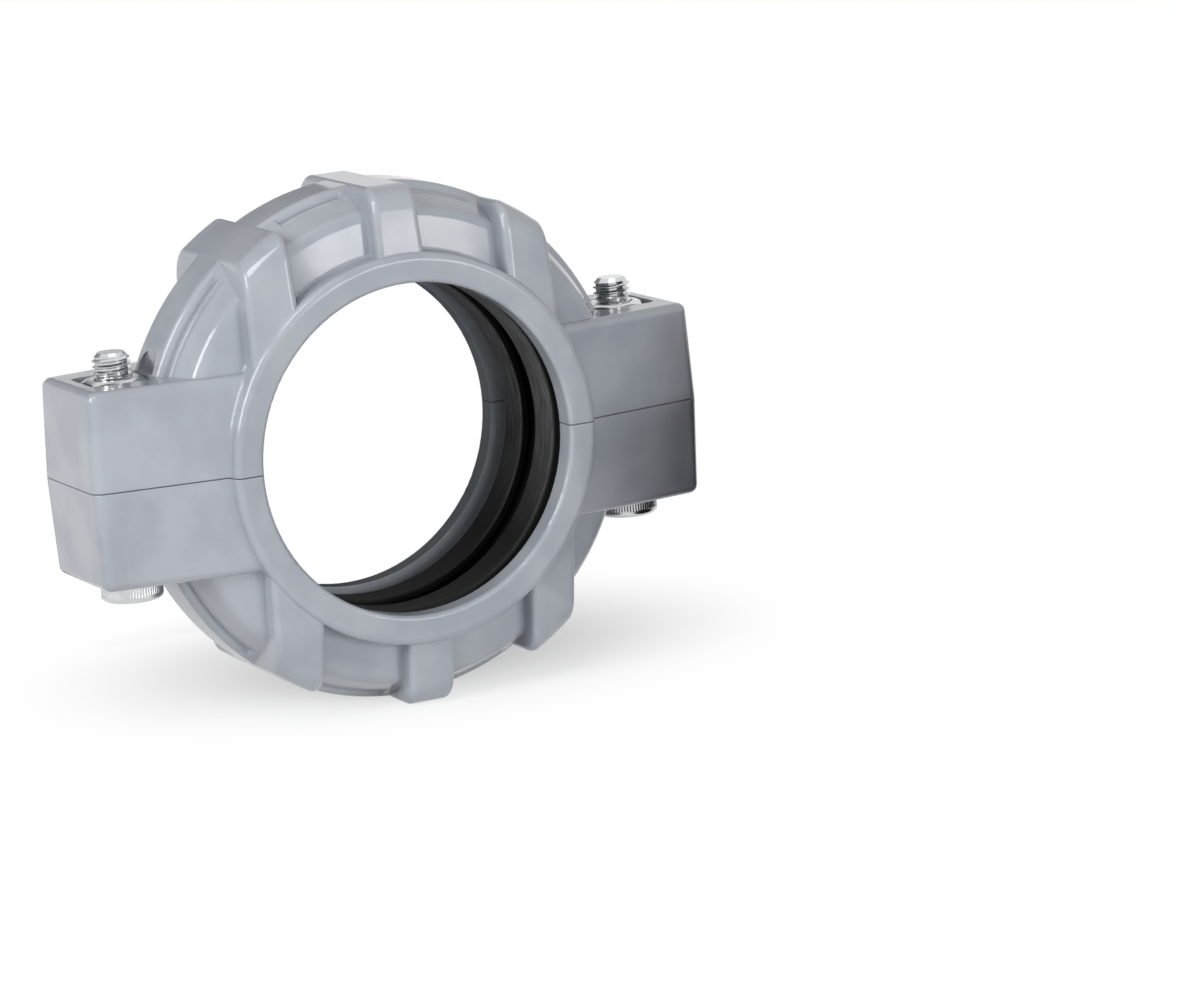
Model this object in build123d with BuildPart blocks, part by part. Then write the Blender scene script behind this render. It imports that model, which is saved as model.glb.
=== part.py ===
from build123d import *
import os
from math import asin, cos, degrees, radians, sin, sqrt, tan

# Bolted coupling that holds the grooved ends of two 4 in plastic pipes round a rubber gasket.
# The origin is the middle of the bore, on the plane where the two halves part.
# The pipe runs along Y, the bolts stand along Z and the lugs point along X. All in millimetres.

# Pipe that the coupling fits
pipe_radius = 57.15
groove_depth = 2.1

# Fits
key_clearance = 0.45
gasket_squeeze = 0.65
gasket_clearance = 0.3
parting_gap = 0.3
hole_clearance = 0.75
thread_clearance = 0.08
head_clearance = 1.0
pocket_clearance = 0.2

# Bolts and nuts
bolt_stand_off = 4.6
bolt_radius = 6.35
bolt_length = 69.85
tip_chamfer = 1.3
head_radius = 10.3
head_height = 12.7
head_edge_radius = 1.8
head_rim_chamfer = 0.5
socket_flats = 9.5
socket_depth = 6.3
nut_flats = 19.05
nut_height = 11.1
nut_face_radius = 8.7
nut_countersink = 0.7
left_nut_turn = -24.0
right_nut_turn = 9.0

# Gasket
gasket_width = 38.0
gasket_depth = 15.2
gasket_edge_radius = 1.5
lip_gap = 10.6
lip_thickness = 3.2
lip_tip_radius = 0.8
lip_rise = 1.4
hollow_width = 26.0
hollow_radius = 2.5
gasket_back = 5.0

# Housing, round the pipe
half_width = 34.8
key_width = 8.0
key_depth = 5.5
mouth_edge_radius = 1.4
ring_wall = 10.0
ring_band = 8.8
ring_edge_radius = 2.5
ring_foot_radius = 1.0
panel_lean = 7.6
shoulder_edge_radius = 5.0
shoulder_slope = 24.0
shoulder_start = 15.5
shoulder_drop = 3.9
strip_start = 12.2
strip_end = 13.5
strip_drop = 2.9
strip_fall = 0.2
strip_step = 0.4
channel_start = 10.8
channel_end = 11.8
channel_depth = 3.5
channel_stop = 4.0
channel_end_chamfer = 2.0
crown_wall = 15.2
crown_half_width = 10.0
crown_edge_radius = 2.5

# Ribs, three on each half
rib_rise = 0.1
rib_step = 1.7
rib_lean = 8.5
rib_corner_radius = 9.0
rib_edge_radius = 2.2
rib_draft = 1.5
middle_rib_half_width = 8.5
side_rib_inner = 37.2
side_rib_outer = 55.6

# Lugs
lug_overhang = 18.5
lug_height = 33.0
lug_step = 5.1
lug_narrowing = 6.5
lug_draft = 2.37
lug_corner_radius = 4.5
lug_edge_radius = 3.0
lug_root_radius = 2.0
pocket_depth = 10.7
pocket_corner_radius = 3.5
counterbore_depth = 5.1
recess_width = 13.0
recess_rise = 7.0
recess_corner_radius = 5.0

# Sizes that follow from those above
key_radius = pipe_radius - groove_depth + key_clearance
throat_radius = key_radius + key_depth
lip_radius = pipe_radius - gasket_squeeze
gasket_radius = lip_radius + gasket_depth
cavity_radius = gasket_radius + gasket_clearance
cavity_width = gasket_width + 2 * gasket_clearance
ring_radius = key_radius + ring_wall
crown_radius = cavity_radius + crown_wall
rib_radius = crown_radius + rib_rise
wall_half_width = half_width - ring_edge_radius
rib_foot = half_width - rib_step
lug_root_half_width = half_width - lug_step
lug_end_half_width = lug_root_half_width - lug_narrowing
bolt_x = crown_radius + bolt_stand_off
lug_end = bolt_x + lug_overhang
hole_radius = bolt_radius + hole_clearance
nut_corner_radius = nut_flats / sqrt(3)
pocket_side = 2 * (nut_corner_radius + pocket_clearance)
counterbore_radius = head_radius + head_clearance
nut_seat = lug_height - pocket_depth
head_seat = counterbore_depth - lug_height
mid_ring_radius = (key_radius + ring_radius) / 2


def section_plane(angle):
    """Plane through the pipe's axis whose x runs outwards, so many degrees from the top."""
    turn = radians(angle)
    return Plane(origin=(0, 0, 0), x_dir=(sin(turn), 0, cos(turn)), z_dir=(-cos(turn), 0, sin(turn)))


def crown_angle(x):
    """Degrees from the top at which the crown stands this far from the middle."""
    return degrees(asin(x / crown_radius))


def side_corners():
    """Corners (radius, y, fillet) of one side of the ring's section, from the crown out to the face."""
    panel_foot = half_width - ring_band
    shoulder_top = crown_radius - shoulder_drop
    strip_edge = crown_radius - strip_drop - strip_fall
    rise = tan(radians(shoulder_slope))
    lean = tan(radians(panel_lean))
    # The panel leans in from its foot and the shoulder falls from its start: they cross here.
    drop = rise * (shoulder_start - panel_foot - lean * ring_radius)
    cross_radius = (shoulder_top + drop) / (1 - rise * lean)
    cross_y = panel_foot - lean * (cross_radius - ring_radius)
    return [
        (crown_radius, crown_half_width, crown_edge_radius),
        (crown_radius - channel_depth, channel_start, 0),
        (crown_radius - channel_depth, channel_end, 0),
        (crown_radius - strip_drop, strip_start, 0),
        (strip_edge, strip_end, 0),
        (strip_edge - strip_step, strip_end + strip_step / 2, 0),
        (shoulder_top, shoulder_start, 0),
        (cross_radius, cross_y, shoulder_edge_radius),
        (ring_radius, panel_foot, ring_foot_radius),
        (ring_radius, half_width, ring_edge_radius),
    ]


def channel_fill(start, end):
    """Material that closes the channel on one side of the crown between two angles from the top."""
    with BuildPart() as fill:
        with BuildSketch(section_plane(start)):
            with BuildLine():
                Polyline(
                    (crown_radius - 0.2 * crown_edge_radius, crown_half_width - 0.36 * crown_edge_radius),
                    (crown_radius - shoulder_drop, shoulder_start),
                    (cavity_radius + crown_wall / 2, crown_half_width),
                    close=True,
                )
            make_face()
        revolve(axis=Axis.Y, revolution_arc=end - start)
        slope = fill.faces().sort_by(SortBy.AREA)[-1]
        ends = fill.faces().filter_by(GeomType.PLANE)
        chamfer(slope.edges() & ends.edges(), channel_end_chamfer)
    return fill


def rib_outline():
    """Outline of a rib in (y, height): leaning ends, a rounded corner at each end of its top."""
    lean = tan(radians(rib_lean))
    base = rib_foot + lean * ring_radius
    top = base - lean * rib_radius
    FilletPolyline(
        (-base, 0),
        (-top, rib_radius),
        (top, rib_radius),
        (base, 0),
        radius=[0, rib_corner_radius, rib_corner_radius, 0],
        close=True,
    )


def is_lug_root(edge):
    """True for the edges of the ring's outer wall where a lug runs into it."""
    middle = edge.center()
    return middle.Z > parting_gap and abs(middle.Y) < wall_half_width - 0.01


def is_mouth(edge):
    """True for the rim of the bore in either end face."""
    at_end = edge.bounding_box().min.Y > half_width - 0.01 or edge.bounding_box().max.Y < 0.01 - half_width
    return at_end and edge.geom_type == GeomType.CIRCLE and abs(edge.radius - key_radius) < 0.01


def rib_edges(rib):
    """Edges along both flanks of a rib, without those at its root."""
    flanks = rib.faces().filter_by(lambda face: abs(face.normal_at().X) > 0.9)
    root = rib.edges().group_by(Axis.Z)[0]
    return flanks.edges() - root


# The ring is one turned section with crown, channel, shoulder, side panel and end ring.
# The channel beside the crown is filled again round each rib.
with BuildPart() as ring:
    corners = side_corners()
    mirrored = [(radius, -y, edge) for radius, y, edge in reversed(corners)]
    outline = mirrored + corners
    with BuildSketch(Plane.XY):
        with BuildLine():
            rim = FilletPolyline(
                [(0, -half_width)] + [(radius, y) for radius, y, edge in outline] + [(0, half_width)],
                radius=[edge for radius, y, edge in outline],
            )
            Line(rim @ 1, rim @ 0)
        make_face()
    revolve(axis=Axis.Y)
    for start, end in (
        (-middle_rib_half_width, middle_rib_half_width),
        (side_rib_inner, side_rib_outer),
        (-side_rib_outer, -side_rib_inner),
    ):
        fill = channel_fill(crown_angle(start - channel_stop), crown_angle(end + channel_stop))
        add(fill.part)
        mirror(fill.part, about=Plane.XZ)

# The middle rib ends in a flat foot. The side ribs follow the crown.
with BuildPart() as middle_rib:
    with BuildSketch(Plane.XY.offset(mid_ring_radius)):
        Rectangle(2 * middle_rib_half_width, 4 * half_width)
    extrude(amount=crown_radius, taper=rib_draft)
    with BuildSketch(Plane.YZ):
        with BuildLine():
            rib_outline()
        make_face()
    extrude(amount=ring_radius, both=True, mode=Mode.INTERSECT)
    fillet(rib_edges(middle_rib), rib_edge_radius)

with BuildPart() as side_rib:
    with BuildSketch(Plane.XY.offset(lug_height - lug_edge_radius)):
        with Locations(((side_rib_inner + side_rib_outer) / 2, 0)):
            Rectangle(side_rib_outer - side_rib_inner, 4 * half_width)
    extrude(amount=crown_radius, taper=rib_draft)
    with BuildSketch(Plane.YZ):
        with BuildLine():
            rib_outline()
        make_face()
    revolve(axis=Axis.Y, mode=Mode.INTERSECT)
    fillet(rib_edges(side_rib), rib_edge_radius)

# Each lug narrows towards its end and, by its draft, towards its top.
# It grows out of the outer wall of the ring with a cove all round its root.
with BuildPart() as lug:
    lug_root = sqrt(mid_ring_radius**2 - lug_height**2)
    narrowing = lug_narrowing / (lug_end - ring_radius)
    root_half_width = lug_end_half_width + narrowing * (lug_end - lug_root)
    with BuildSketch(Plane.XY):
        with BuildLine():
            FilletPolyline(
                (lug_root, -root_half_width),
                (lug_end, -lug_end_half_width),
                (lug_end, lug_end_half_width),
                (lug_root, root_half_width),
                radius=[0, lug_corner_radius, lug_corner_radius, 0],
                close=True,
            )
        make_face()
    extrude(amount=lug_height, taper=lug_draft)
    top_edges = lug.faces().sort_by(Axis.Z)[-1].edges()
    fillet(top_edges.sort_by(Axis.X)[1:], lug_edge_radius)
    Cylinder(ring_radius, 2 * wall_half_width, rotation=(90, 0, 0))
    split(bisect_by=Plane.XY.offset(parting_gap / 2), keep=Keep.TOP)
    wall = lug.faces().filter_by(GeomType.CYLINDER).sort_by(SortBy.AREA)[-1]
    fillet(wall.edges().filter_by(is_lug_root), lug_root_radius)

# One half as moulded, before the holes for its fasteners.
with BuildPart() as housing_half:
    add(ring.part)
    add(lug.part)
    mirror(lug.part, about=Plane.YZ)
    split(bisect_by=Plane.XY.offset(parting_gap / 2), keep=Keep.TOP)
    add(middle_rib.part)
    add(side_rib.part)
    mirror(side_rib.part, about=Plane.YZ)
    for bore_radius, bore_width in (
        (key_radius, 4 * half_width),
        (throat_radius, 2 * (half_width - key_width)),
        (cavity_radius, cavity_width),
    ):
        Cylinder(bore_radius, bore_width, rotation=(90, 0, 0), mode=Mode.SUBTRACT)
    fillet(housing_half.edges().filter_by(is_mouth), mouth_edge_radius)

# The upper half has a square recess for each nut and room for a wrench in the crown beside it.
with BuildPart() as upper_housing:
    add(housing_half.part)
    for x in (-bolt_x, bolt_x):
        with Locations(Plane(origin=(x, 0, lug_height))):
            Hole(hole_radius, depth=lug_height)
        with BuildSketch(Plane(origin=(x, 0, nut_seat))):
            RectangleRounded(pocket_side, pocket_side, pocket_corner_radius)
        extrude(amount=pocket_depth, mode=Mode.SUBTRACT)
    recess_top = lug_height + recess_rise
    recess_back = sqrt(crown_radius**2 - recess_top**2)
    with BuildSketch(Plane.YZ.offset(recess_back)):
        with BuildLine():
            FilletPolyline(
                (-recess_width / 2, lug_height),
                (-recess_width / 2, recess_top),
                (recess_width / 2, recess_top),
                (recess_width / 2, lug_height),
                radius=[0, recess_corner_radius, recess_corner_radius, 0],
                close=True,
            )
        make_face()
    recess = extrude(amount=ring_wall, mode=Mode.SUBTRACT)
    mirror(recess, about=Plane.YZ, mode=Mode.SUBTRACT)
upper_housing.part.label = "upper_housing"

# The lower half is the same moulding turned over, with a counterbore for each bolt head.
with BuildPart() as lower_housing:
    add(housing_half.part, rotation=(0, 180, 0))
    for x in (-bolt_x, bolt_x):
        with Locations(Plane(origin=(x, 0, -lug_height), z_dir=(0, 0, -1))):
            CounterBoreHole(hole_radius, counterbore_radius, counterbore_depth, depth=lug_height)
lower_housing.part.label = "lower_housing"

# The gasket is a C in section: a back, two walls and two lips that press on the pipes.
with BuildPart() as gasket:
    lip_back = lip_radius + lip_thickness
    gasket_side = [
        (gasket_radius, gasket_width / 2, gasket_edge_radius),
        (lip_radius, gasket_width / 2, gasket_edge_radius),
        (lip_radius, lip_gap / 2, lip_tip_radius),
        (lip_back, lip_gap / 2, lip_tip_radius),
        (lip_back + lip_rise, hollow_width / 2, hollow_radius),
        (gasket_radius - gasket_back, hollow_width / 2, hollow_radius),
    ]
    gasket_outline = gasket_side + [(radius, -y, edge) for radius, y, edge in reversed(gasket_side)]
    with BuildSketch(Plane.XY):
        with BuildLine():
            FilletPolyline(
                [(radius, y) for radius, y, edge in gasket_outline],
                radius=[edge for radius, y, edge in gasket_outline],
                close=True,
            )
        make_face()
    revolve(axis=Axis.Y)
gasket.part.label = "gasket"


def make_bolt(x):
    """Socket head bolt, head down, with its head against the counterbore of the lower half."""
    with BuildPart() as bolt:
        with Locations((x, 0, head_seat)):
            Cylinder(head_radius, head_height, align=(Align.CENTER, Align.CENTER, Align.MAX))
            Cylinder(bolt_radius, bolt_length, align=(Align.CENTER, Align.CENTER, Align.MIN))
        rings = bolt.edges().filter_by(GeomType.CIRCLE).sort_by(Axis.Z)
        fillet(rings[0], head_edge_radius)
        chamfer(rings[1], head_rim_chamfer)
        chamfer(rings[-1], tip_chamfer)
        with BuildSketch(Plane(origin=(x, 0, head_seat - head_height))):
            RegularPolygon(socket_flats / sqrt(3), 6)
        extrude(amount=socket_depth, mode=Mode.SUBTRACT)
    return bolt


def make_nut(x, turn):
    """Hexagon nut with both faces chamfered, on the floor of its recess in the upper half."""
    face_drop = (nut_corner_radius - nut_face_radius) * tan(radians(30))
    with BuildPart() as nut:
        with BuildSketch(Plane(origin=(x, 0, nut_seat))):
            RegularPolygon(nut_corner_radius, 6, rotation=turn)
            Circle(bolt_radius + thread_clearance, mode=Mode.SUBTRACT)
        extrude(amount=nut_height)
        with BuildSketch(Plane(origin=(x, 0, nut_seat), x_dir=(1, 0, 0), z_dir=(0, -1, 0))):
            with BuildLine():
                Polyline(
                    (0, 0),
                    (nut_face_radius, 0),
                    (nut_corner_radius, face_drop),
                    (nut_corner_radius, nut_height - face_drop),
                    (nut_face_radius, nut_height),
                    (0, nut_height),
                    close=True,
                )
            make_face()
        revolve(axis=Axis((x, 0, 0), (0, 0, 1)), mode=Mode.INTERSECT)
        bore_rims = nut.edges().filter_by(GeomType.CIRCLE).sort_by(SortBy.RADIUS)[:2]
        chamfer(bore_rims, nut_countersink)
    return nut


left_bolt = make_bolt(-bolt_x)
left_bolt.part.label = "left_bolt"
right_bolt = make_bolt(bolt_x)
right_bolt.part.label = "right_bolt"
left_nut = make_nut(-bolt_x, left_nut_turn)
left_nut.part.label = "left_nut"
right_nut = make_nut(bolt_x, right_nut_turn)
right_nut.part.label = "right_nut"

os.makedirs("parts", exist_ok=True)
for piece in (upper_housing, lower_housing, gasket, left_bolt, right_bolt, left_nut, right_nut):
    export_step(piece.part, f"parts/{piece.part.label}.step")
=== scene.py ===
# %% [markdown]
# A grooved pipe coupling is two moulded plastic halves bolted together round a rubber gasket.
# Its solids come ready made, at their real size, so this script gives them their finish.
# The one thing to model is the pair of bolts, because their threads and knurled heads show.

# %% Load the coupling
import math

import bpy
from mathutils import Matrix, Vector


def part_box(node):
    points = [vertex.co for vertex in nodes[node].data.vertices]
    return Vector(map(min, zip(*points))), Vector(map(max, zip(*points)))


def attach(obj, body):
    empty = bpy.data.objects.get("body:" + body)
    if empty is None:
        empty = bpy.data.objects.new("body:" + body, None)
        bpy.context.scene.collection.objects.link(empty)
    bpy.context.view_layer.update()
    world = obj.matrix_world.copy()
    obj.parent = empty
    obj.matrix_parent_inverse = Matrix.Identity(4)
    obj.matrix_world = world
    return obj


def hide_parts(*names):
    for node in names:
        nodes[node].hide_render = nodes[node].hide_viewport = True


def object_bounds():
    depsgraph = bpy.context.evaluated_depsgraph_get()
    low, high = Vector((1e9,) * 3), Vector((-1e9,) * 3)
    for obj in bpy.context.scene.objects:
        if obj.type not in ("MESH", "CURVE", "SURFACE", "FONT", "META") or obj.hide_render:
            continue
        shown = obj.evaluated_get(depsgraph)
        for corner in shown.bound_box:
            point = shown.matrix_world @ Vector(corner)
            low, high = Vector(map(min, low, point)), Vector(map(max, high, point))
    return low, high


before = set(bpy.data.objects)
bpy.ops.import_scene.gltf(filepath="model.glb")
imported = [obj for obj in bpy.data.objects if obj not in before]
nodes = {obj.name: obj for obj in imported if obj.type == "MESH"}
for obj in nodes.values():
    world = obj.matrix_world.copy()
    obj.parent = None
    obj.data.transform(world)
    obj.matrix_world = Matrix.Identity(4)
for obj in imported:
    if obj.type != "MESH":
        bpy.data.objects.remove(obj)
solid_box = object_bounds()
MM = 0.001
print("pieces:", ", ".join(sorted(nodes)))

# %% [markdown]
# The camera stands 1.7 m away with a long lens, as a product photographer's does, so that the
# ring stays round and the lugs stay square. It looks from the left and a little from above.
# It is also rolled by a few degrees: the coupling stands on one narrow rib and leans a little.
# Azimuth, height and roll are easier to read than a matrix, so the matrix is made from them.

# %% Camera
AZIMUTH = math.radians(-25.97)
HEIGHT = math.radians(11.26)
ROLL = math.radians(4.27)
DISTANCE = 1.711
AIM = Vector((0.07765, 0.0, -0.0324))
LENS = 152.1
SENSOR = 36.0
back = Vector((
    math.sin(AZIMUTH) * math.cos(HEIGHT),
    -math.cos(AZIMUTH) * math.cos(HEIGHT),
    math.sin(HEIGHT),
))
level = Vector((0, 0, 1)).cross(back).normalized()
upright = back.cross(level)
camera_up = upright * math.cos(ROLL) + level * math.sin(ROLL)
camera_right = camera_up.cross(back)
bpy.ops.object.camera_add()
camera = bpy.context.object
camera.data.lens = LENS
camera.data.sensor_width = SENSOR
facing = Matrix((camera_right, camera_up, back)).transposed().to_4x4()
camera.matrix_world = Matrix.Translation(AIM + back * DISTANCE) @ facing
bpy.context.scene.camera = camera
print("camera at", [round(v, 3) for v in camera.matrix_world.translation])

# %% [markdown]
# A material is a network of small steps. One helper adds a step, gives it its settings and
# joins it to the steps before it, so that each material below reads from top to bottom.
# Colours are written as the hex values that a screen shows. The renderer counts in linear
# light, so a second helper turns them. A third draws a pattern out along one direction.

# %% Helpers for materials


def linear(hex_colour):
    """Linear RGBA of a colour given as an sRGB hex value, such as #A5AAB1."""
    parts = [int(hex_colour[i:i + 2], 16) / 255 for i in (1, 3, 5)]
    light = [p / 12.92 if p <= 0.04045 else ((p + 0.055) / 1.055) ** 2.4 for p in parts]
    return (*light, 1.0)


def add_node(tree, kind, settings=None, **inputs):
    """Adds a node. settings go on the node, inputs on its sockets: values, or sockets to link."""
    node = tree.nodes.new(kind)
    for name, value in (settings or {}).items():
        setattr(node, name, value)
    for name, value in inputs.items():
        wanted = name.replace("_", " ")
        socket = next(
            s for s in node.inputs
            if s.enabled and wanted in (s.name, s.identifier.replace("_", " "))
        )
        if isinstance(value, bpy.types.NodeSocket):
            tree.links.new(value, socket)
        else:
            socket.default_value = value
    return node


def new_material(name):
    """Empty material, with its node tree."""
    material = bpy.data.materials.new(name)
    material.use_nodes = True
    material.node_tree.nodes.clear()
    return material, material.node_tree


def stretched(tree, place, factors):
    """The place with its coordinates multiplied, which squeezes a pattern or draws it out."""
    return add_node(
        tree, "ShaderNodeVectorMath", {"operation": "MULTIPLY"}, Vector=place, Vector_001=factors,
    ).outputs[0]


# %% [markdown]
# CPVC is a stiff grey plastic. It is injection moulded in a polished tool, so it is glossy,
# yet not a mirror: the skin waves a little where it cooled, and handling leaves faint dull
# smudges. The wave is a few millimetres long and only microns deep, so it is bump, not shape.
# Moulded edges are never sharp, and a bevelled normal rounds those that the solids leave sharp.

# %% Moulded CPVC
PLASTIC_GREY = "#A4A9B0"
PLASTIC_GREY_DEEP = "#999EA6"
SKIN_WAVE = 9 * MM
SKIN_GRAIN = 0.7 * MM
WAVE_DEPTH = 0.02 * MM
GRAIN_DEPTH = 0.003 * MM
SMUDGE = 24 * MM
DULL, GLOSSY = 0.13, 0.06
MOULD_EDGE = 0.7 * MM
CPVC_IOR = 1.53

cpvc, tree = new_material("moulded_cpvc")
place = add_node(tree, "ShaderNodeTexCoord").outputs["Object"]
smudge = add_node(
    tree, "ShaderNodeTexNoise", Vector=place, Scale=1 / SMUDGE, Detail=3.0, Roughness=0.5,
).outputs[0]
wave, grain = [
    add_node(tree, "ShaderNodeTexNoise", Vector=place, Scale=1 / size, Detail=2.0).outputs[0]
    for size in (SKIN_WAVE, SKIN_GRAIN)
]
smudged = add_node(tree, "ShaderNodeMapRange", Value=smudge, From_Min=0.38, From_Max=0.6).outputs[0]
colour = add_node(
    tree, "ShaderNodeMix", {"data_type": "RGBA"}, Factor_Float=smudged,
    A_Color=linear(PLASTIC_GREY_DEEP), B_Color=linear(PLASTIC_GREY),
).outputs[2]
gloss = add_node(
    tree, "ShaderNodeMapRange", Value=smudge, From_Min=0.3, From_Max=0.7,
    To_Min=DULL, To_Max=GLOSSY,
).outputs[0]
skin = add_node(tree, "ShaderNodeBevel", {"samples": 6}, Radius=MOULD_EDGE).outputs[0]
for relief, depth in ((wave, WAVE_DEPTH), (grain, GRAIN_DEPTH)):
    skin = add_node(
        tree, "ShaderNodeBump", Height=relief, Distance=depth, Strength=0.5, Normal=skin,
    ).outputs[0]
surface = add_node(
    tree, "ShaderNodeBsdfPrincipled", Base_Color=colour, Roughness=gloss, Normal=skin, IOR=CPVC_IOR,
)
add_node(tree, "ShaderNodeOutputMaterial", Surface=surface.outputs[0])

print("material:", cpvc.name)

# %% [markdown]
# The gasket is moulded EPDM rubber: almost black, with a satin skin that carries a little of
# the mould's fine turning marks. Its two lips are what the pipes rub on. They get a painted
# sheen, a grey in fine streaks round the pipe that stands for the light they catch, while their
# flanks and the hollow stay black. The painted sheen is full at the sides and above and fades
# towards the bottom. All of it depends on the place: on the distance along the pipe, the
# distance from the pipe's axis and the height.

# %% Moulded rubber
RUBBER_BLACK = "#0B0B0C"
# Painted sheen: the grey that the lips are painted where they catch light.
RUBBER_SHEEN_GREY = "#7A7A7B"
LIP_RADIUS = 56.7 * MM
HOLLOW_RADIUS = 57.3 * MM
SHEEN_LOW = -38 * MM
SHEEN_HIGH = 8 * MM
STREAK = 0.45 * MM
STREAK_STRETCH = (0.06, 1, 0.06)
TURNING_PITCH = 0.9 * MM
TURNING_DEPTH = 0.01 * MM
WAVE_REPEAT = 0.314  # metres between the bands of a Wave texture of scale 1
RUBBER_IOR = 1.45

rubber, tree = new_material("moulded_rubber")
place = add_node(tree, "ShaderNodeTexCoord").outputs["Object"]
flat = stretched(tree, place, (1, 0, 1))
radius = add_node(
    tree, "ShaderNodeVectorMath", {"operation": "LENGTH"}, Vector=flat,
).outputs["Value"]
on_lip = add_node(
    tree, "ShaderNodeMapRange", Value=radius, From_Min=LIP_RADIUS, From_Max=HOLLOW_RADIUS,
    To_Min=1.0, To_Max=0.0,
).outputs[0]
height = add_node(tree, "ShaderNodeSeparateXYZ", Vector=place).outputs["Z"]
# Painted sheen: full at the sides and above, it fades towards the bottom.
sheen_fade = add_node(
    tree, "ShaderNodeMapRange", Value=height, From_Min=SHEEN_LOW, From_Max=SHEEN_HIGH, To_Min=0.02,
).outputs[0]
drawn = stretched(tree, place, STREAK_STRETCH)
streaks = add_node(
    tree, "ShaderNodeTexNoise", Vector=drawn, Scale=1 / STREAK, Detail=4.0,
).outputs[0]
# Painted sheen in fine streaks round the pipe, only on the lips.
painted_sheen = add_node(
    tree, "ShaderNodeMapRange", Value=streaks, From_Min=0.35, From_Max=0.7, To_Min=0.25,
).outputs[0]
for limit in (on_lip, sheen_fade):
    painted_sheen = add_node(
        tree, "ShaderNodeMath", {"operation": "MULTIPLY"}, Value=painted_sheen, Value_001=limit,
    ).outputs[0]
colour = add_node(
    tree, "ShaderNodeMix", {"data_type": "RGBA"}, Factor_Float=painted_sheen,
    A_Color=linear(RUBBER_BLACK), B_Color=linear(RUBBER_SHEEN_GREY),
).outputs[2]
marks = add_node(
    tree, "ShaderNodeTexWave", {"bands_direction": "Y"}, Vector=place,
    Scale=WAVE_REPEAT / TURNING_PITCH, Distortion=0.6, Detail=2.0,
).outputs[1]
relief = add_node(
    tree, "ShaderNodeBump", Height=marks, Distance=TURNING_DEPTH, Strength=0.6,
).outputs[0]
surface = add_node(
    tree, "ShaderNodeBsdfPrincipled", Base_Color=colour, Roughness=0.5, Normal=relief,
    IOR=RUBBER_IOR, Specular_IOR_Level=0.3,
)
add_node(tree, "ShaderNodeOutputMaterial", Surface=surface.outputs[0])

print("material:", rubber.name)

# %% [markdown]
# The fasteners are stainless steel. The threads are rolled, which burnishes them almost to a
# mirror, while the nuts and the heads are cold formed and tumbled, which leaves them bright
# but cloudy. One function makes both from their roughness and the size of their marks.

# %% Stainless steel
STEEL = "#DCDDDE"
STEEL_CLOUD = "#C2C3C4"
SCRATCH_DEPTH = 0.004 * MM


def stainless(name, roughness, cloud, scratch):
    """Bright stainless steel with clouds and fine scratches of the given sizes in metres."""
    steel, tree = new_material(name)
    place = add_node(tree, "ShaderNodeTexCoord").outputs["Object"]
    clouds, scratches = [
        add_node(tree, "ShaderNodeTexNoise", Vector=place, Scale=1 / size, Detail=detail).outputs[0]
        for size, detail in ((cloud, 4.0), (scratch, 2.0))
    ]
    colour = add_node(
        tree, "ShaderNodeMix", {"data_type": "RGBA"}, Factor_Float=clouds,
        A_Color=linear(STEEL_CLOUD), B_Color=linear(STEEL),
    ).outputs[2]
    dull = add_node(
        tree, "ShaderNodeMapRange", Value=clouds, From_Min=0.3, From_Max=0.7,
        To_Min=roughness * 0.8, To_Max=roughness * 1.3,
    ).outputs[0]
    relief = add_node(
        tree, "ShaderNodeBump", Height=scratches, Distance=SCRATCH_DEPTH, Strength=0.6,
    ).outputs[0]
    surface = add_node(
        tree, "ShaderNodeBsdfPrincipled", Base_Color=colour, Metallic=1.0, Roughness=dull,
        Normal=relief,
    )
    add_node(tree, "ShaderNodeOutputMaterial", Surface=surface.outputs[0])
    return steel


rolled_steel = stainless("rolled_stainless_steel", 0.14, 5 * MM, 0.3 * MM)
tumbled_steel = stainless("tumbled_stainless_steel", 0.24, 3 * MM, 0.4 * MM)

print("materials:", rolled_steel.name, tumbled_steel.name)

# %% [markdown]
# Each ready-made solid gets the finish of its real material.

# %% Finish the ready-made solids
for node_name, finish in (
    ("upper_housing", cpvc), ("lower_housing", cpvc), ("gasket", rubber),
    ("left_nut", tumbled_steel), ("right_nut", tumbled_steel),
):
    nodes[node_name].data.materials.clear()
    nodes[node_name].data.materials.append(finish)
    print(node_name, "is", finish.name)

# %% [markdown]
# A bolt is modelled once and copied. It has three stretches: a rolled thread, a plain shank
# and a knurled head with a hexagon socket. The shank is hidden in the lugs, but it belongs to
# the bolt, so it is there. All sizes are those of a half inch screw with thirteen threads to
# the inch.

# %% Sizes of the bolt
low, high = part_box("left_bolt")
AXIS = Vector(((low.x + high.x) / 2, (low.y + high.y) / 2, 0))
HEAD_RADIUS = (high.x - low.x) / 2
HEAD_HEIGHT = 12.7 * MM
SEAT = low.z + HEAD_HEIGHT
TIP = high.z
THREAD_RADIUS = 6.35 * MM
PITCH = 25.4 / 13 * MM
THREAD_LENGTH = 36 * MM
NEAR = 0.01 * MM
WELD = 0.001 * MM
print(f"bolt axis x {AXIS.x * 1000:.1f} mm, seat {SEAT * 1000:.1f} mm, tip {TIP * 1000:.1f} mm")

# %% [markdown]
# Operators act on whatever is selected, so two small helpers keep that under control: one
# starts from nothing selected, the other selects the parts of a mesh that pass a test.

# %% Helpers for modelling


def clear_selection():
    """Leaves edit mode and selects nothing."""
    if bpy.context.object and bpy.context.object.mode != "OBJECT":
        bpy.ops.object.mode_set(mode="OBJECT")
    bpy.ops.object.select_all(action="DESELECT")


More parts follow.
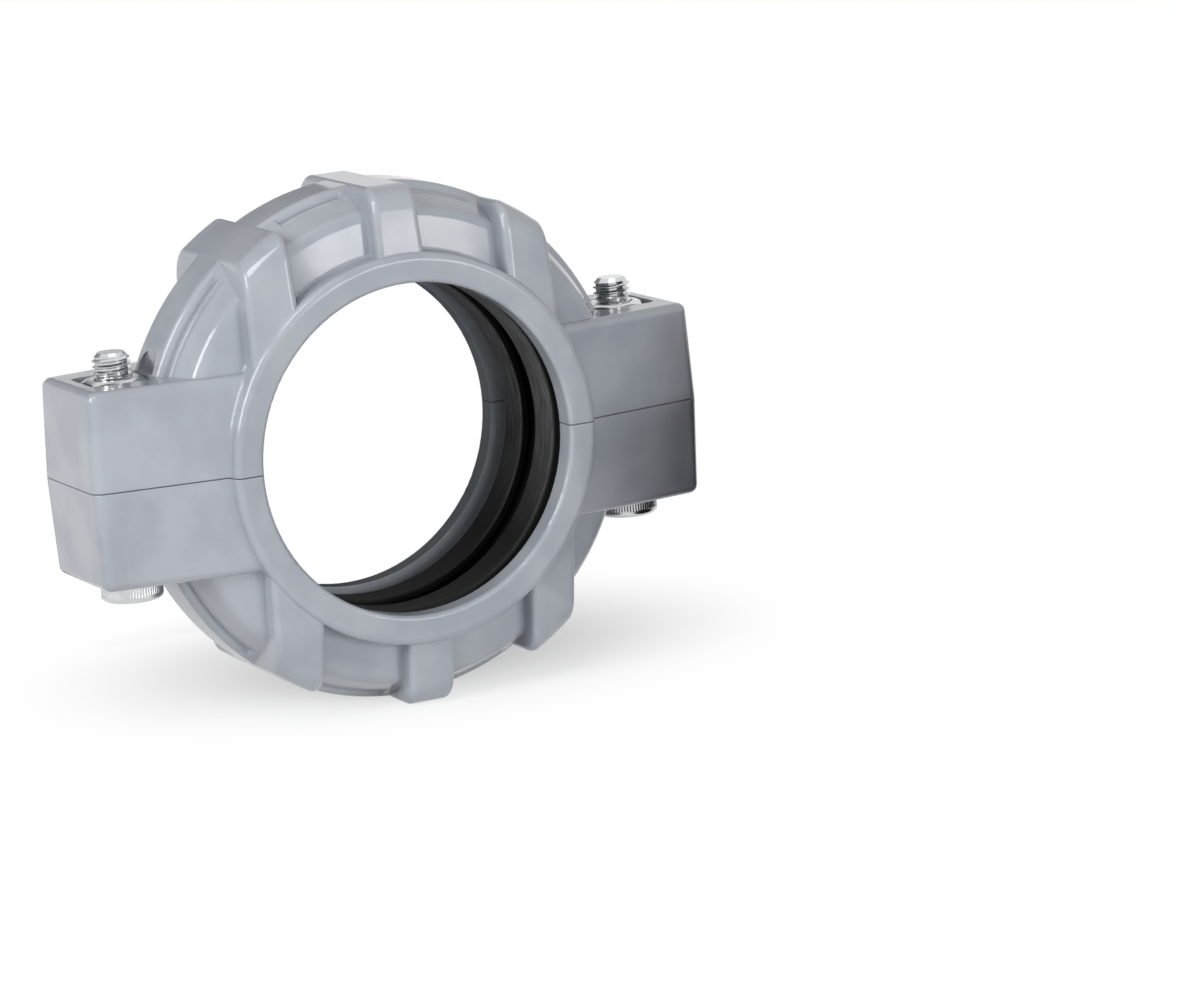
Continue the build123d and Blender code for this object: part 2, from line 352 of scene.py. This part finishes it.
def select_in_mesh(mode, test):
    """In edit mode, selects the vertices, edges or faces whose middle passes the test."""
    thing = bpy.context.object
    bpy.ops.mesh.select_mode(type=mode)
    bpy.ops.mesh.select_all(action="DESELECT")
    bpy.ops.object.mode_set(mode="OBJECT")
    mesh = thing.data
    points = [v.co for v in mesh.vertices]
    count = 0
    if mode == "VERT":
        for vertex in mesh.vertices:
            vertex.select = test(vertex.co)
            count += vertex.select
    elif mode == "EDGE":
        for line in mesh.edges:
            line.select = test((points[line.vertices[0]] + points[line.vertices[1]]) / 2)
            count += line.select
    else:
        for face in mesh.polygons:
            face.select = test(face.center)
            count += face.select
    bpy.ops.object.mode_set(mode="EDIT")
    return count


def from_axis(point):
    """Distance of a point of the mesh from the bolt's axis."""
    return math.hypot(point.x, point.y)


# %% [markdown]
# A thread is one small ridge that winds up round a core. Its profile is drawn for one turn:
# a flat root, a flank, a narrow crest and the other flank, here by extruding one vertex.
# The Screw modifier then winds it up, one pitch a turn. Cutting the tube flat at both ends
# closes it, and what is left is a solid rod with a true 60 degree thread.

# %% Thread
THREAD_DEPTH = 0.541 * PITCH
ROOT_FLAT = PITCH / 4
CREST_FLAT = PITCH / 8
FLANK = (PITCH - ROOT_FLAT - CREST_FLAT) / 2
STEPS_PER_TURN = 64
SPARE_TURNS = 4
clear_selection()
bpy.ops.mesh.primitive_plane_add(size=MM, location=(0, 0, 0))
thread = bpy.context.object
thread.name = "thread"
bpy.ops.object.mode_set(mode="EDIT")
bpy.ops.mesh.select_all(action="SELECT")
bpy.ops.mesh.merge(type="CENTER")
bpy.ops.transform.translate(value=(THREAD_RADIUS - THREAD_DEPTH, 0, TIP - THREAD_LENGTH - PITCH))
for outward, up in ((0, ROOT_FLAT), (THREAD_DEPTH, FLANK), (0, CREST_FLAT), (-THREAD_DEPTH, FLANK)):
    bpy.ops.mesh.extrude_region_move(TRANSFORM_OT_translate={"value": (outward, 0, up)})
bpy.ops.object.mode_set(mode="OBJECT")
screw = thread.modifiers.new("screw", "SCREW")
screw.angle = 2 * math.pi
screw.screw_offset = PITCH
screw.iterations = int(THREAD_LENGTH / PITCH) + SPARE_TURNS
screw.steps = STEPS_PER_TURN
screw.render_steps = STEPS_PER_TURN
bpy.ops.object.modifier_apply(modifier=screw.name)
bpy.ops.object.mode_set(mode="EDIT")
bpy.ops.mesh.select_all(action="SELECT")
bpy.ops.mesh.remove_doubles(threshold=WELD)
for height, keep_above in ((TIP - THREAD_LENGTH, True), (TIP, False)):
    bpy.ops.mesh.select_all(action="SELECT")
    bpy.ops.mesh.bisect(
        plane_co=(0, 0, height), plane_no=(0, 0, 1), use_fill=True,
        clear_inner=keep_above, clear_outer=not keep_above,
    )
bpy.ops.mesh.select_all(action="SELECT")
bpy.ops.mesh.normals_make_consistent(inside=False)
bpy.ops.object.mode_set(mode="OBJECT")
print("thread:", len(thread.data.polygons), "faces")

# %% [markdown]
# The tip of a real screw is turned to a cone before the thread is rolled, so the last turns
# run out into it. A Boolean with a bevelled rod does the same: it keeps only the part of the
# thread that lies inside the rod. A bevel on the thread's own end would follow every ridge.

# %% Tip of the bolt
TIP_CONE = 2.0 * MM
CREST_ALLOWANCE = 0.02 * MM
clear_selection()
bpy.ops.mesh.primitive_cylinder_add(
    vertices=96, radius=THREAD_RADIUS + CREST_ALLOWANCE, depth=THREAD_LENGTH + 2 * MM,
    location=(0, 0, TIP - THREAD_LENGTH / 2 - MM),
)
blank = bpy.context.object
bpy.ops.object.transform_apply(location=True)
bpy.ops.object.mode_set(mode="EDIT")
select_in_mesh("EDGE", lambda p: abs(p.z - TIP) < NEAR)
bpy.ops.mesh.bevel(offset=TIP_CONE, segments=1)
bpy.ops.object.mode_set(mode="OBJECT")
clear_selection()
thread.select_set(True)
bpy.context.view_layer.objects.active = thread
turned = thread.modifiers.new("turned_tip", "BOOLEAN")
turned.operation = "INTERSECT"
turned.solver = "EXACT"
turned.object = blank
bpy.ops.object.modifier_apply(modifier=turned.name)
bpy.data.objects.remove(blank)
print("thread with its tip:", len(thread.data.polygons), "faces")

# %% [markdown]
# The head is a short cylinder whose lower rim is well rounded. Its side is knurled, so that
# fingers can spin it: fine upright ridges. Every other upright edge is drawn in towards the
# axis, between a plain land at the top and one at the bottom. A texture could fake ridges
# this fine, but the head stands out against the white floor, where its outline shows them.

# %% Knurled head
KNURLS = 72
KNURL_DEPTH = 0.28 * MM
HEAD_ROUND = 1.8 * MM
RIM_CHAMFER = 0.5 * MM
RIM_LAND = 0.7 * MM
bottom = SEAT - HEAD_HEIGHT
groove_top = SEAT - RIM_CHAMFER - RIM_LAND
groove_bottom = bottom + HEAD_ROUND + RIM_LAND
clear_selection()
bpy.ops.mesh.primitive_cylinder_add(
    vertices=2 * KNURLS, radius=HEAD_RADIUS, depth=HEAD_HEIGHT,
    location=(0, 0, SEAT - HEAD_HEIGHT / 2),
)
head = bpy.context.object
head.name = "head"
bpy.ops.object.transform_apply(location=True)
bpy.ops.object.mode_set(mode="EDIT")
select_in_mesh("EDGE", lambda p: abs(p.z - bottom) < NEAR)
bpy.ops.mesh.bevel(offset=HEAD_ROUND, segments=6)
select_in_mesh("EDGE", lambda p: abs(p.z - SEAT) < NEAR)
bpy.ops.mesh.bevel(offset=RIM_CHAMFER, segments=2)
for height in (groove_top, groove_bottom):
    bpy.ops.mesh.select_all(action="SELECT")
    bpy.ops.mesh.bisect(plane_co=(0, 0, height), plane_no=(0, 0, 1))
bpy.ops.mesh.select_all(action="SELECT")
bpy.ops.mesh.remove_doubles(threshold=WELD)


def in_groove(point):
    """True on every other upright edge, within the knurled band."""
    turn = math.atan2(point.y, point.x) / (2 * math.pi) * 2 * KNURLS
    in_band = groove_bottom - NEAR < point.z < groove_top + NEAR
    return in_band and from_axis(point) > HEAD_RADIUS * 0.99 and round(turn) % 2 == 1


picked = select_in_mesh("VERT", in_groove)
shrink = 1 - KNURL_DEPTH / HEAD_RADIUS
bpy.ops.transform.resize(value=(shrink, shrink, 1), center_override=(0, 0, 0))
bpy.ops.object.mode_set(mode="OBJECT")
print("head:", len(head.data.polygons), "faces,", picked, "points of the knurl drawn in")

# %% [markdown]
# The hexagon socket is cut with a Boolean too, because a six-sided hole in a round face is
# quickest made by taking a hexagonal rod out of it.

# %% Hexagon socket and shank
SOCKET_FLATS = 9.5 * MM
SOCKET_DEPTH = 6.3 * MM
SHANK_PLAY = 0.05 * MM
SHANK_CHAMFER = 0.6 * MM
clear_selection()
bpy.ops.mesh.primitive_cylinder_add(
    vertices=6, radius=SOCKET_FLATS / math.sqrt(3), depth=2 * SOCKET_DEPTH,
    location=(0, 0, bottom), rotation=(0, 0, math.radians(30)),
)
punch = bpy.context.object
bpy.ops.object.transform_apply(location=True, rotation=True)
clear_selection()
head.select_set(True)
bpy.context.view_layer.objects.active = head
socket = head.modifiers.new("socket", "BOOLEAN")
socket.operation = "DIFFERENCE"
socket.solver = "EXACT"
socket.object = punch
bpy.ops.object.modifier_apply(modifier=socket.name)
bpy.data.objects.remove(punch)

clear_selection()
shank_length = TIP - THREAD_LENGTH - SEAT
bpy.ops.mesh.primitive_cylinder_add(
    vertices=64, radius=THREAD_RADIUS - SHANK_PLAY, depth=shank_length,
    location=(0, 0, SEAT + shank_length / 2),
)
shank = bpy.context.object
bpy.ops.object.transform_apply(location=True)
bpy.ops.object.mode_set(mode="EDIT")
select_in_mesh("EDGE", lambda p: abs(p.z - SEAT - shank_length) < NEAR)
bpy.ops.mesh.bevel(offset=SHANK_CHAMFER, segments=1)
bpy.ops.object.mode_set(mode="OBJECT")

# %% [markdown]
# The three stretches are joined into one bolt and moved to its axis, and the move is applied,
# so that its place is in its mesh. The second bolt is a copy with a mesh of its own, turned a
# little, because no two threads start at the same place.

# %% Both bolts
SMOOTH_BELOW = math.radians(32)
RIGHT_TURN = 1.9
for piece, finish in ((thread, rolled_steel), (shank, rolled_steel), (head, tumbled_steel)):
    piece.data.materials.clear()
    piece.data.materials.append(finish)
clear_selection()
for piece in (thread, shank, head):
    piece.select_set(True)
bpy.context.view_layer.objects.active = head
bpy.ops.object.join()
bpy.ops.object.shade_smooth_by_angle(angle=SMOOTH_BELOW)
left = bpy.context.object
left.name = "left_bolt_threaded"
bpy.ops.object.duplicate()
right = bpy.context.object
right.name = "right_bolt_threaded"
for piece, node, x, turn in (
    (left, "left_bolt", AXIS.x, 0.0), (right, "right_bolt", -AXIS.x, RIGHT_TURN),
):
    clear_selection()
    piece.select_set(True)
    bpy.context.view_layer.objects.active = piece
    piece.rotation_euler.z = turn
    piece.location = (x, AXIS.y, 0)
    bpy.ops.object.transform_apply(location=True, rotation=True)
    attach(piece, node)
    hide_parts(node)
print("bolts:", left.name, right.name, len(left.data.polygons), "faces each")

# %% [markdown]
# The coupling stands on a plain white sweep, as in a product photograph. The sweep should
# look white without throwing more light on the plastic. So it adds a white glow of its own,
# but only for the rays that come straight from the camera or from a mirror-like reflection.
# Under the coupling and just behind it, where its shadow falls, most of it is an ordinary
# matt floor, and further out the glow takes over.

# %% Floor
FLOOR_WHITE = "#F2F2F3"
SHADOW_STRETCH = (0.85, 1, 1)
SHADOW_CENTRE = (0.02, 0.05, 0.0)
SHADOW_SHARE = 0.66
SHADOW_FADE = 0.13
clear_selection()
bpy.ops.mesh.primitive_plane_add(size=8.0, location=(0, 0, solid_box[0].z))
floor = bpy.context.object
floor.name = "floor"


def seen_directly(tree):
    """1 for camera, glossy and transmission rays, 0 for the rays that gather soft light."""
    rays = add_node(tree, "ShaderNodeLightPath").outputs
    direct = rays["Is Camera Ray"]
    for kind in ("Is Glossy Ray", "Is Transmission Ray"):
        direct = add_node(
            tree, "ShaderNodeMath", {"operation": "MAXIMUM"}, Value=direct, Value_001=rays[kind],
        ).outputs[0]
    return direct


sweep, tree = new_material("white_sweep")
paper = add_node(tree, "ShaderNodeBsdfDiffuse", Color=linear(FLOOR_WHITE)).outputs[0]
glow = add_node(tree, "ShaderNodeEmission", Color=(1, 1, 1, 1), Strength=1.0).outputs[0]
place = add_node(tree, "ShaderNodeTexCoord").outputs["Object"]
drawn = stretched(tree, place, SHADOW_STRETCH)
distance = add_node(
    tree, "ShaderNodeVectorMath", {"operation": "DISTANCE"}, Vector=drawn, Vector_001=SHADOW_CENTRE,
).outputs["Value"]
whiteness = add_node(
    tree, "ShaderNodeMapRange", {"interpolation_type": "SMOOTHSTEP"}, Value=distance,
    From_Max=SHADOW_FADE, To_Min=1 - SHADOW_SHARE,
).outputs[0]
share = add_node(
    tree, "ShaderNodeMath", {"operation": "MULTIPLY"}, Value=seen_directly(tree),
    Value_001=whiteness,
).outputs[0]
both = add_node(
    tree, "ShaderNodeMixShader", Fac=share, Shader=paper, Shader_001=glow,
).outputs[0]
add_node(tree, "ShaderNodeOutputMaterial", Surface=both)
floor.data.materials.append(sweep)
print("floor at", round(solid_box[0].z * 1000, 1), "mm")

# %% [markdown]
# The background is white as well. Where it is seen, straight or in a reflection, it has full
# strength; where it only fills in the shadows it is weaker, so that the shape keeps contrast.

# %% Background
AMBIENT = 0.12
world = bpy.context.scene.world or bpy.data.worlds.new("studio")
bpy.context.scene.world = world
world.use_nodes = True
tree = world.node_tree
tree.nodes.clear()
strength = add_node(
    tree, "ShaderNodeMapRange", Value=seen_directly(tree), To_Min=AMBIENT,
).outputs[0]
white = add_node(tree, "ShaderNodeBackground", Color=(1, 1, 1, 1), Strength=strength).outputs[0]
add_node(tree, "ShaderNodeOutputWorld", Surface=white)

# %% [markdown]
# Glossy plastic shows its lamps, so their places decide where the highlights fall. A softbox
# low in front, a little to the right, makes the side panels of the housing pale. A tall one at
# the left draws the long highlights along the crown and the ring, and the key light above it
# catches the corner of the left rib. One overhead lights the tops of the lugs. The fill is a
# wide soft light from the front that isn't seen in reflections, so it evens out the shade
# without adding a highlight, and a weaker one does the same for the far side. A lamp is placed
# by its azimuth, height and distance and turned to face the coupling.

# %% Lamps
LAMPS = (
    # azimuth and height in degrees, distance, width and height of the lamp in metres, watts
    ("front_softbox", 23.5, 3.5, 1.6, 0.48, 0.38, 3.3),
    ("key_softbox", -37, 52, 1.5, 0.42, 0.4, 3.8),
    ("left_softbox", -75, 25, 1.4, 0.5, 0.8, 12.0),
    ("top_softbox", 10, 80, 1.5, 0.8, 0.5, 1.2),
    ("fill_softbox", 8, 3, 2.0, 1.0, 1.2, 23.0),
    ("back_softbox", 145, 20, 2.0, 1.0, 1.0, 9.0),
)
NOT_MIRRORED = ("fill_softbox", "back_softbox")


def softbox(name, azimuth, height, distance, width, tall, power):
    """Rectangular lamp that looks at the coupling from the given direction."""
    a, h = math.radians(azimuth), math.radians(height)
    outward = Vector((math.sin(a) * math.cos(h), -math.cos(a) * math.cos(h), math.sin(h)))
    bpy.ops.object.light_add(type="AREA", location=outward * distance)
    lamp = bpy.context.object
    lamp.name = name
    lamp.rotation_euler = outward.to_track_quat("Z", "Y").to_euler()
    lamp.data.shape = "RECTANGLE"
    lamp.data.size = width
    lamp.data.size_y = tall
    lamp.data.energy = power
    lamp.visible_camera = False
    lamp.visible_glossy = name not in NOT_MIRRORED


for lamp in LAMPS:
    softbox(*lamp)
print("lamps:", ", ".join(lamp[0] for lamp in LAMPS))

# %% [markdown]
# Photographers also take light away. Two rolls of black felt stand close to the right lug, a
# wide one and a narrow one on top of it, so that the lug grows darker towards its lower right
# corner. A low black card behind the coupling keeps the far key dark, which mirrors what is
# behind it. A grey board further back, above the level of the lugs, does the same more softly
# for the crown. The camera doesn't see any of them.

# %% Dark cards
BLACK_FELT = "#2C2C2E"
GREY_BOARD = "#A0A0A2"
ROLL_PLACE = (0.164, -0.087)
ROLL_STEP = 0.004
ROLL_TOP = 0.034


def dark_material(name, hex_colour):
    """Plain matt material for the cards."""
    material, tree = new_material(name)
    cloth = add_node(tree, "ShaderNodeBsdfDiffuse", Color=linear(hex_colour)).outputs[0]
    add_node(tree, "ShaderNodeOutputMaterial", Surface=cloth)
    return material


def hide_from_camera(thing, name, material):
    """Names a piece of the studio, gives it its material and lets only light and mirrors see it."""
    thing.name = name
    thing.data.materials.append(material)
    thing.visible_camera = False


def card(name, place, width, tall, turn, material):
    """Upright card of the given size in metres, turned about the vertical by so many degrees."""
    clear_selection()
    bpy.ops.mesh.primitive_plane_add(size=1.0, location=place)
    board = bpy.context.object
    board.scale = (width, tall, 1)
    board.rotation_euler = (math.radians(90), 0, math.radians(turn))
    bpy.ops.object.transform_apply(location=False, rotation=True, scale=True)
    hide_from_camera(board, name, material)


black_felt = dark_material("black_felt", BLACK_FELT)
grey_board = dark_material("grey_board", GREY_BOARD)
card("back_card", (0.01, 0.13, -0.022), 0.24, 0.115, 0, black_felt)
card("rear_card", (-0.19, 0.5, 0.36), 0.9, 0.42, 20, grey_board)
for name, radius, foot, top in (
    ("wide_roll", 0.073, solid_box[0].z, ROLL_STEP), ("narrow_roll", 0.052, ROLL_STEP, ROLL_TOP),
):
    clear_selection()
    bpy.ops.mesh.primitive_cylinder_add(
        vertices=96, radius=radius, depth=top - foot, location=(*ROLL_PLACE, (foot + top) / 2),
    )
    hide_from_camera(bpy.context.object, name, black_felt)
print("cards: back_card, rear_card, wide_roll, narrow_roll")

# %% [markdown]
# The Standard view shows colours as they are, so the plastic's grey stays the grey that was
# chosen.

# %% Finish
bpy.context.scene.view_settings.view_transform = "Standard"
